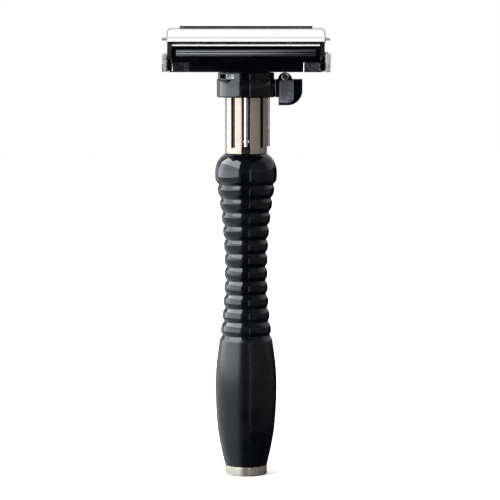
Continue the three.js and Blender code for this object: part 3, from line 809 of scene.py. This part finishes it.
def make_neck():
    """The ring is a lathe wall with a notch front and rear. The tube is a wall with three open
    slots and four shallow grooves, on a turned plug."""
    low, high = reach("neck_ring")
    notch = half_angle(NOTCH_WIDTH, NECK_RADIUS)
    hair = math.degrees(HAIR / NECK_RADIUS)
    edges = [side + end * (notch + step) for side in (FRONT, REAR) for end in (-1, 1) for step in (0, hair)]
    angles = stations(np.unique([-180.0, *edges, 180.0]), 3.0)[:-1]
    in_notch = np.minimum(np.abs(angles - FRONT), np.abs(angles - REAR)) <= notch + WELD
    levels = [[low[2], NECK_RADIUS, GRIP_COUNTERBORE], [high[2], NECK_RADIUS, GRIP_COUNTERBORE]]
    dip = np.where(in_notch, GROOVE_DEPTH, 0.0)[None].repeat(2, 0)
    ring = round_wall(angles, levels, dip, np.ones((1, len(angles)), bool))
    piece("neck_collar_ring", [ring], neck_nickel, ["neck_ring"], ease=0.09)

    tube_low, tube_high = reach("neck_tube")
    key_half, fin_half = half_angle(KEY_SLOT, NECK_RADIUS), half_angle(FIN_SLOT, NECK_RADIUS)
    slots = [(FRONT, key_half), (REAR, key_half), (0, fin_half)]
    groove = half_angle(GROOVE_WIDTH, NECK_RADIUS)
    edges = [middle + end * half for middle, half in slots for end in (-1, 1)]
    edges += [
        middle + end * (groove + step) for middle in GROOVE_ANGLES for end in (-1, 1) for step in (0, hair)
    ]
    angles = stations(np.unique([-180.0, *edges, 180.0]), 3.0)[:-1]
    middles = angles + np.diff(np.append(angles, 180.0)) / 2
    levels = np.array(
        [
            [high[2], NECK_RADIUS, SLIDER_RADIUS],
            [NECK_FLOOR, NECK_RADIUS, SLIDER_RADIUS],
            [NECK_FLOOR, NECK_RADIUS, NECK_BORE],
            [SLOT_TOP, NECK_RADIUS, NECK_BORE],
            [SLOT_TOP + HAIR, NECK_RADIUS, NECK_BORE],
            [FLARE_BOTTOM, NECK_RADIUS, NECK_BORE],
            [FLARE_BOTTOM, FLARE_RADIUS, NECK_BORE],
            [tube_high[2], FLARE_RADIUS, NECK_BORE],
        ]
    )
    grooved = np.abs(angles[:, None] - np.array(GROOVE_ANGLES)).min(1) <= groove + WELD
    dip = np.where(grooved[None] & (levels[:, :1] <= SLOT_TOP), GROOVE_DEPTH, 0.0)
    open_cell = np.any([np.abs(middles - middle) < half for middle, half in slots], axis=0)
    kept = ~(open_cell[None] & (levels[:-1, :1] < SLOT_TOP))
    tube = round_wall(angles, levels, dip, kept)
    plug = turned(
        [
            [0, tube_low[2]],
            [SPIGOT_RADIUS, tube_low[2]],
            [SPIGOT_RADIUS, high[2] - HAIR],
            [SLIDER_RADIUS + HAIR, high[2] - HAIR],
            [SLIDER_RADIUS + HAIR, NECK_FLOOR - HAIR],
            [0, NECK_FLOOR - HAIR],
        ],
        SMALL_CIRCLE_STEPS,
    )
    piece("slotted_neck_tube", [tube, plug], neck_nickel, ["neck_tube"], ease=0.07)


# ---- slider ----


def make_keys():
    """Each key is a bar with a rounded nose: a [width, depth] section carried up Z."""
    for node, angle in (("front_key", FRONT), ("rear_key", REAR), ("side_fin", 0)):
        low, high = reach(node)
        radius_in = SLIDER_RADIUS + KEY_SEAT
        radius_out = {FRONT: -low[1], REAR: high[1], 0: high[0]}[angle]
        width = (high - low)[0 if angle else 1] / 2
        section = rounded(
            [
                [-width, radius_in, 0.0],
                [-width, radius_out, KEY_NOSE],
                [width, radius_out, KEY_NOSE],
                [width, radius_in, 0.0],
            ]
        )
        bar, faces = drawn(section, np.array([low[2], high[2]]))
        turn = math.radians(angle)
        across, out = bar[:, 1], bar[:, 2]
        x = out * math.cos(turn) - across * math.sin(turn)
        y = out * math.sin(turn) + across * math.cos(turn)
        piece(node + "_bar", [(np.stack([x, y, bar[:, 0]], -1), faces)], key_nickel, [node], ease=0.12)


def make_slider():
    """A lathe outline: a wide core that fills the neck, and the lift rod that stands on it."""
    low, high = reach("slider_core")
    outline = rounded(
        [
            [0, low[2], 0],
            [SLIDER_RADIUS, low[2], 0.2],
            [SLIDER_RADIUS, SLIDER_TOP, 0.3],
            [LIFT_ROD_RADIUS, SLIDER_TOP, 0.2],
            [LIFT_ROD_RADIUS, high[2], 0.0],
            [0, high[2], 0],
        ]
    )
    first = np.lexsort((outline[:, 1], outline[:, 0] > WELD))[0]
    piece(
        "slider_core_turned",
        [turned(np.roll(outline, -first, 0), SMALL_CIRCLE_STEPS)],
        rod_steel,
        ["slider_core"],
        crease=60,
    )


def make_pins():
    """Short pins with domed ends, laid along X."""
    pins = [
        f"{depth}_{side}_{kind}"
        for depth in ("front", "rear")
        for side in ("left", "right")
        for kind in ("hinge_pin", "lift_pin")
    ]
    for node in pins:
        low, high = reach(node)
        middle, half = (low + high) / 2, (high - low) / 2
        radius = half[1]
        outline = rounded(
            [
                [0, -half[0], 0],
                [radius, -half[0], radius * 0.45],
                [radius, half[0], radius * 0.45],
                [0, half[0], 0],
            ]
        )
        first = np.lexsort((outline[:, 1], outline[:, 0] > WELD))[0]
        pin = laid(turned(np.roll(outline, -first, 0), 32), "x", middle)
        piece(node + "_domed", [pin], rod_steel, [node], crease=60)


# ---- collar and thumb tab ----


def make_collar():
    """A round wall with a rounded lower rim, a step to a narrower top band and one window in it."""
    low, high = reach("control_collar")
    curl = np.linspace(np.pi / 2, 0, 7)
    rim = [
        [
            low[2] + COLLAR_ROUND * (1 - math.sin(turn)),
            COLLAR_RADIUS - COLLAR_ROUND * (1 - math.cos(turn)),
            COLLAR_BORE,
        ]
        for turn in curl
    ]
    shoulder = 0.12
    band = [
        [COLLAR_STEP - shoulder, COLLAR_RADIUS, COLLAR_BORE],
        [COLLAR_STEP - shoulder * 0.3, COLLAR_RADIUS - shoulder * 0.3, COLLAR_BORE],
        [COLLAR_STEP, COLLAR_RADIUS - shoulder, COLLAR_BORE],
        [COLLAR_STEP, COLLAR_UPPER_RADIUS, COLLAR_BORE],
        [WINDOW_FROM, COLLAR_UPPER_RADIUS, COLLAR_BORE],
        [WINDOW_TO, COLLAR_UPPER_RADIUS, COLLAR_BORE],
        [high[2] - shoulder, COLLAR_UPPER_RADIUS, COLLAR_BORE],
        [high[2], COLLAR_UPPER_RADIUS - shoulder, COLLAR_BORE],
    ]
    levels = np.array(rim + band)
    half = half_angle(WINDOW_WIDTH, COLLAR_UPPER_RADIUS)
    angles = stations([-180.0, WINDOW_ANGLE - half, WINDOW_ANGLE + half, 180.0], 2.5)[:-1]
    middles = angles + np.diff(np.append(angles, 180.0)) / 2
    in_window = np.abs(middles - WINDOW_ANGLE) < half
    at_height = (levels[:-1, 0] >= WINDOW_FROM) & (levels[:-1, 0] < WINDOW_TO)
    kept = ~(in_window[None] & at_height[:, None])
    shell = round_wall(angles, levels, np.zeros((len(levels), len(angles))), kept)
    piece("turning_collar", [shell], collar_black, ["control_collar"], crease=40)


def make_sleeve():
    """The cam sleeve behind the window: a steel wall with one long gap."""
    low, high = reach("cam_sleeve")
    angles = stations([-180.0, *SLEEVE_GAP, 180.0], 3.0)[:-1]
    middles = angles + np.diff(np.append(angles, 180.0)) / 2
    kept = ~((middles > SLEEVE_GAP[0]) & (middles < SLEEVE_GAP[1]))[None]
    levels = [[z, SLEEVE_RADIUS, SLEEVE_BORE] for z in (low[2], high[2])]
    shell = round_wall(angles, levels, np.zeros((2, len(angles))), kept)
    piece("cam_sleeve_wall", [shell], sleeve_steel, ["cam_sleeve"], ease=0.08)


def make_rivet():
    """A rivet laid along Y. Each end is a low dome cut into small pyramids by two sets of waves."""
    low, high = reach("tab_rivet")
    middle, half = (low + high) / 2, (high - low) / 2
    radius = half[0] * RIVET_SPREAD
    across = np.linspace(0, 1, 22)
    face = np.stack([across * radius, half[1] - RIVET_DOME * across**4], -1)
    outline = np.concatenate([face * [1, -1], face[::-1]])
    points, faces = turned(outline, SMALL_CIRCLE_STEPS)
    wave = np.abs(np.sin(points[:, 0] * KNURL_WAVES)) * np.abs(np.sin(points[:, 1] * KNURL_WAVES))
    on_face = np.hypot(points[:, 0], points[:, 1]) < radius * KNURL_REACH
    points[:, 2] -= np.sign(points[:, 2]) * KNURL_DEPTH * np.where(on_face, 1 - wave, KNURL_RIM_SINK)
    piece("knurled_rivet", [laid((points, faces), "y", middle)], sleeve_steel, ["tab_rivet"], crease=70)


def make_pads():
    """Each pad is a D-shaped outline drawn in towards its middle: it climbs the side, rounds over
    the rim and rises a little more to a crown."""
    for node in ("front_tab_pad", "rear_tab_pad"):
        low, high = reach(node)
        side = -1 if node.startswith("front") else 1
        outline = rounded(
            [
                [low[0], low[2], PAD_SMALL_CORNER],
                [high[0], low[2], PAD_CORNER],
                [high[0], high[2], PAD_SMALL_CORNER],
                [low[0], high[2], PAD_SMALL_CORNER],
            ],
            steps=14,
        )
        centre = np.array([low[0] + PAD_MIDDLE[0], high[2] - PAD_MIDDLE[1]])
        proud = high[1] - low[1]
        climb = np.linspace(0, np.pi / 2, 7)
        inner = np.linspace(PAD_RIM_END, 0.0, PAD_CROWN_STEPS)
        rim_in = 1 - PAD_RIM_SLOPE * PAD_RIM * (1 - np.cos(climb))
        rim_rise = proud - PAD_RIM + (PAD_RIM - PAD_CROWN) * np.sin(climb)
        drawn_in = np.concatenate([[1.0], rim_in, inner])
        rise = np.concatenate([[0.0], rim_rise, proud - PAD_CROWN * inner**2])
        flat = centre + (outline - centre)[None] * drawn_in[:, None, None]
        base = high[1] if side < 0 else low[1]
        y = base + side * rise[:, None] + 0 * flat[..., 0]
        points = np.stack([flat[..., 0], y, flat[..., 1]], -1).reshape(-1, 3)
        rows, columns = flat.shape[:2]
        faces = [net(rows, columns, False, True), np.arange(columns)[None]]
        piece(node + "_crowned", [(points, faces)], pad_grey_highlight, [node], crease=60)


# ---- head ----


def make_guard_bars():
    """A bar with a rounded nose and two fine grooves along its front."""
    for node, side in (("front_guard_bar", -1), ("rear_guard_bar", 1)):
        low, high = reach(node)
        front = max(abs(low[1]), abs(high[1]))
        back = min(abs(low[1]), abs(high[1]))
        corners = [[back, low[2], 0.0], [front, low[2], 0.28]]
        for groove in GUARD_GROOVES:
            corners.append([front, groove - GUARD_GROOVE_HALF, 0.08])
            corners.append([front - GUARD_GROOVE_DEPTH, groove, 0.04])
            corners.append([front, groove + GUARD_GROOVE_HALF, 0.08])
        corners += [[front, high[2], 0.42], [back, high[2], 0.0]]
        section = rounded(corners) * [side, 1]
        bar = drawn(section, np.array([low[0], high[0]]))
        made = piece(node + "_grooved", [bar], guard_black, [node], ease=0.4)
        made.modifiers["eased_edges"].angle_limit = math.radians(GUARD_EASE_ANGLE)


def make_doors():
    """The outside is an arc, the inside follows a smooth curve, and the upper corners drop away in
    a quarter circle. Over its last stretch the outside also sinks towards the arc's centre in
    another quarter circle, so the end rolls over. A narrow ridge stands along the meeting edge."""
    for node, side in (("front_door", -1), ("rear_door", 1)):
        low, high = reach(node)
        half = high[0]
        y = np.linspace(DOOR_SEAM, DOOR_LIP, 40)
        outer = np.stack([y, DOOR_TOP - DOOR_BEND + np.sqrt(DOOR_BEND**2 - y**2), 0 * y], -1)
        inner = flowing(DOOR_INSIDE, 28)[::-1]
        inner = np.stack([inner[:, 0], DOOR_TOP - inner[:, 1], 0 * inner[:, 0]], -1)
        outer[-1, 2] = inner[0, 2] = DOOR_LIP_ROUND
        outline = rounded(np.concatenate([outer, inner]))
        from_centre = outline - [0, DOOR_TOP - DOOR_BEND]
        distance = np.hypot(*from_centre.T)
        outside = np.clip((distance - DOOR_BEND) / DOOR_LIP_ROUND + 1, 0, 1)
        turn = np.linspace(0, np.pi / 2, 9)
        corner = half - DOOR_END_ROUND + DOOR_END_ROUND * np.sin(turn)
        middle = np.linspace(-corner[0], corner[0], 24)[1:-1]
        along = np.concatenate([-corner[::-1], middle, corner])
        past = np.clip(np.abs(along) - (half - DOOR_END_ROUND), 0, DOOR_END_ROUND)
        drop = DOOR_END_ROUND - np.sqrt(DOOR_END_ROUND**2 - past**2)
        rolled = np.clip(np.abs(along) - (half - DOOR_END_ROLL), 0, DOOR_END_ROLL)
        sink = (DOOR_END_ROLL - np.sqrt(DOOR_END_ROLL**2 - rolled**2)) * DOOR_END_SINK
        section = outline - sink[:, None, None] * (from_centre / distance[:, None] * outside[:, None])
        ceiling = (DOOR_TOP - drop)[:, None] - (1 - outside) * DOOR_END_THICKNESS
        section[..., 1] = np.minimum(section[..., 1], ceiling)
        shell = drawn(section * [side, 1], along)
        ridge_section = rounded(
            [
                [DOOR_SEAM, DOOR_TOP - 0.3, 0],
                [DOOR_SEAM, high[2], 0.06],
                [DOOR_SEAM + RIDGE_WIDTH, high[2], 0.3],
                [DOOR_SEAM + RIDGE_WIDTH, DOOR_TOP - 0.3, 0],
            ]
        )
        ridge = drawn(ridge_section * [side, 1], np.array([-RIDGE_HALF, RIDGE_HALF]))
        piece(node + "_shell", [shell, ridge], door_chrome, [node], crease=45)


def make_blade():
    """A thin bent sheet: its height falls with the square of the distance from the middle, its
    tabs stand out at the ends, and its slot is open. It thins evenly to a fine edge, which dips
    a little where it leaves the door."""
    low, high = reach("blade")
    half_length = [BLADE_SLOT_HALF, BLADE_EDGE_HALF, high[0]]
    half_depth = [BLADE_SLOT_DEPTH, BLADE_TAB_HALF, BLADE_GROUND, BLADE_HOOD, high[1]]
    x, y = (
        stations(np.array([-place for place in reversed(half)] + half), step)
        for half, step in ((half_length, 1.5), (half_depth, 0.22))
    )
    middle_x, middle_y = np.abs((x[1:] + x[:-1]) / 2), np.abs((y[1:] + y[:-1]) / 2)
    kept = (middle_x[:, None] < BLADE_EDGE_HALF) | (middle_y[None] < BLADE_TAB_HALF)
    kept &= ~((middle_x[:, None] < BLADE_SLOT_HALF) & (middle_y[None] < BLADE_SLOT_DEPTH))
    beyond_lip = np.clip((np.abs(y) - BLADE_HOOD) / (high[1] - BLADE_HOOD), 0, 1)
    height = BLADE_CROWN - y**2 / (2 * BLADE_BEND) - BLADE_DROOP * beyond_lip**BLADE_DROOP_POWER
    thinning = np.clip((np.abs(y) - BLADE_GROUND) / (high[1] - BLADE_GROUND), 0, 1)
    half = BLADE_HALF + (BLADE_EDGE - BLADE_HALF) * thinning
    sheet = [
        np.stack(np.broadcast_arrays(x[:, None], y[None], (height + sign * half)[None]), -1)
        for sign in (1, -1)
    ]
    piece("honed_blade", [wall(sheet[0], sheet[1], kept)], blade_steel, ["blade"], crease=40)


def make_eased_parts():
    """The pressed and milled parts keep the frame's shape and get softened edges."""
    eased("head_base", base_black, 0.14)
    eased("blade_rail", rail_steel, 0.12)
    eased("lift_bar", rail_steel, 0.14)
    eased("thumb_tab", collar_black, 0.24)
    for side in ("left", "right"):
        eased(side + "_end_bracket", bracket_steel, 0.26)
        for depth in ("front", "rear"):
            eased(f"{depth}_{side}_door_arm", arm_steel, 0.10)
    core = frame["nodes"]["core_rod"]
    for slot in core.material_slots:
        slot.material = rod_steel.material


make_grip()
make_foot()
make_neck()
make_keys()
make_slider()
make_pins()
make_collar()
make_sleeve()
make_rivet()
make_pads()
make_guard_bars()
make_doors()
make_blade()
make_eased_parts()

# ---- floor, light and camera ----

FLOOR_HALF = 1.5


def make_floor():
    """A wide pale sheet that the razor stands on."""
    finish = Finish("pale_floor")
    mottle = finish.between(finish.clouds(finish.spot(), 0.01, 3.0), 0.35, 0.7)
    colour = finish.tint(mottle, (0.86, 0.86, 0.86), (0.88, 0.88, 0.88))
    finish.coat(Base_Color=colour, Roughness=0.6)
    mesh = bpy.data.meshes.new("pale_floor")
    corners = [(x * FLOOR_HALF, y * FLOOR_HALF, 0.0) for x, y in ((-1, -1), (1, -1), (1, 1), (-1, 1))]
    mesh.from_pydata(corners, [], [(0, 1, 2, 3)])
    mesh.materials.append(finish.material)
    floor = bpy.data.objects.new("pale_floor", mesh)
    bpy.context.scene.collection.objects.link(floor)
    floor.visible_glossy = False


def softbox(name, at, aim, width, height, power, colour=(1, 1, 1)):
    """A soft rectangular light that faces a point."""
    lamp = bpy.data.lights.new(name, "AREA")
    lamp.shape = "RECTANGLE"
    lamp.size, lamp.size_y = width, height
    lamp.energy, lamp.color = power, colour
    made = bpy.data.objects.new(name, lamp)
    made.location = at
    made.rotation_euler = (Vector(aim) - Vector(at)).to_track_quat("-Z", "Y").to_euler()
    made.visible_camera = False
    bpy.context.scene.collection.objects.link(made)
    return made


def make_sky():
    """A studio sky: white overhead and behind, greyer to the sides, dim in front, dark at and below
    the horizon except for a glow on the left, with one cool band high at the back. Past the floor
    the camera sees plain white."""
    world = bpy.data.worlds.new("studio")
    bpy.context.scene.world = world
    world.use_nodes = True
    studio = Finish("studio", tree=world.node_tree)
    way = studio.node("ShaderNodeTexCoord", output="Generated")
    across, back, rise = (studio.along(axis, way) for axis in "XYZ")
    above = studio.between(rise, 0.085, 0.19)
    low_down = 1 - studio.between(rise, 0.38, 0.54)
    in_front = 1 - studio.between(back, -0.15, 0.15)
    on_left = 1 - studio.between(across, -0.6, -0.25)
    high_back = studio.between(back, 0.0, 0.1)
    band = studio.between(rise, 0.84, 0.86) * (1 - studio.between(rise, 0.89, 0.91)) * high_back
    tone = studio.tint(on_left, (0.012, 0.013, 0.016), (1.25, 1.28, 1.33))
    white = studio.tint(studio.between(across * across, 0.06, 0.5), (1.1, 1.1, 1.1), (0.55, 0.56, 0.60))
    tone = studio.tint(above, tone, white)
    tone = studio.tint(low_down * above, tone, (0.66, 0.67, 0.69))
    tone = studio.tint(in_front * above, tone, (0.08, 0.08, 0.09))
    tone = studio.tint(band, tone, (0.74, 0.75, 0.84))
    seen = studio.node("ShaderNodeLightPath", output="Is Camera Ray")
    tone = studio.tint(seen, tone, (1.0, 1.0, 1.0))
    shine = studio.node("ShaderNodeBackground", {}, {"Color": tone, "Strength": 1.0})
    studio.node("ShaderNodeOutputWorld", {}, {"Surface": shine})


COOL_LIGHT = (0.95, 1.0, 1.04)
WARM_LIGHT = (1.0, 0.96, 0.92)


def make_lights():
    """A big box on the left in two parts, a dim one on the right, a narrow strip just right of the
    camera, and an overhead one that only lifts the floor."""
    softbox("left_low_box", (-0.446, -0.112, 0.175), (0.0, 0.0, 0.175), 1.05, 0.33, 5.8, COOL_LIGHT)
    softbox("left_high_box", (-0.446, -0.112, 0.655), (0.0, 0.0, 0.655), 1.05, 0.63, 25.0, COOL_LIGHT)
    softbox("right_box", (0.36, -0.13, 0.25), (0.0, 0.0, 0.25), 1.08, 0.7, 0.50, WARM_LIGHT)
    softbox("strip_box", (0.17, -0.62, 0.02), (0.0, 0.0, 0.05), 0.02, 0.5, 0.16)
    overhead = softbox("overhead_box", (0.0, 0.0, 1.6), (0.0, 0.0, 0.0), 4.0, 4.0, 60.0)
    overhead.visible_glossy = False


make_floor()
make_sky()
make_lights()

CAMERA_AT = (0.00102, -0.6508, 0.11864)
CAMERA_TILT = 84.724
LENS = 181.66
SENSOR = 36.0

camera_data = bpy.data.cameras.new("camera")
camera_data.lens = LENS
camera_data.sensor_width = SENSOR
camera = bpy.data.objects.new("camera", camera_data)
camera.location = CAMERA_AT
camera.rotation_euler = (math.radians(CAMERA_TILT), 0.0, 0.0)
bpy.context.scene.collection.objects.link(camera)
bpy.context.scene.camera = camera
bpy.context.scene.view_settings.view_transform = "Standard"
